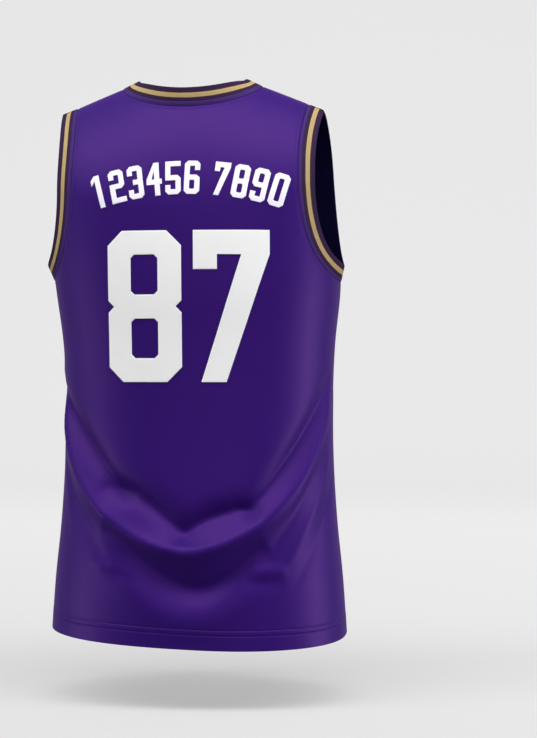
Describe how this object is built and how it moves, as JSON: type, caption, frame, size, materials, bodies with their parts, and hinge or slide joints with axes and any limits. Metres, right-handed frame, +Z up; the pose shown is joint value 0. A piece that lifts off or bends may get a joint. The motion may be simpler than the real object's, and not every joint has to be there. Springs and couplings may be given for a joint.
{
  "type": "basketball jersey",
  "caption": "Sleeveless purple basketball jersey with striped rib bands at neck and armholes and a white number on the back, filled out and hollow as if worn.",
  "frame": {"origin": "on the line of the shoulder seams, midway between them, where the wearer's shoulders carry the jersey", "axes": "+Z up the body, +Y out of the wearer's front, +X to the wearer's right"},
  "size_m": [0.4151, 0.2696, 0.7754],
  "materials": {
    "purple_cloth": "matte polyester knit",
    "striped_rib": "matte rib knit, plum with a gold stripe",
    "white_twill": "matte twill"
  },
  "bodies": {
    "root": {"back_panel": "purple_cloth", "front_panel": "purple_cloth", "neckband": "striped_rib", "armband_left": "striped_rib", "armband_right": "striped_rib", "number_left": "white_twill", "number_right": "white_twill", "small_numeral_01": "white_twill", "small_numeral_02": "white_twill", "small_numeral_03": "white_twill", "small_numeral_04": "white_twill", "small_numeral_05": "white_twill", "small_numeral_06": "white_twill", "small_numeral_07": "white_twill", "small_numeral_08": "white_twill", "small_numeral_09": "white_twill", "small_numeral_10": "white_twill"}
  },
  "joints": []
}
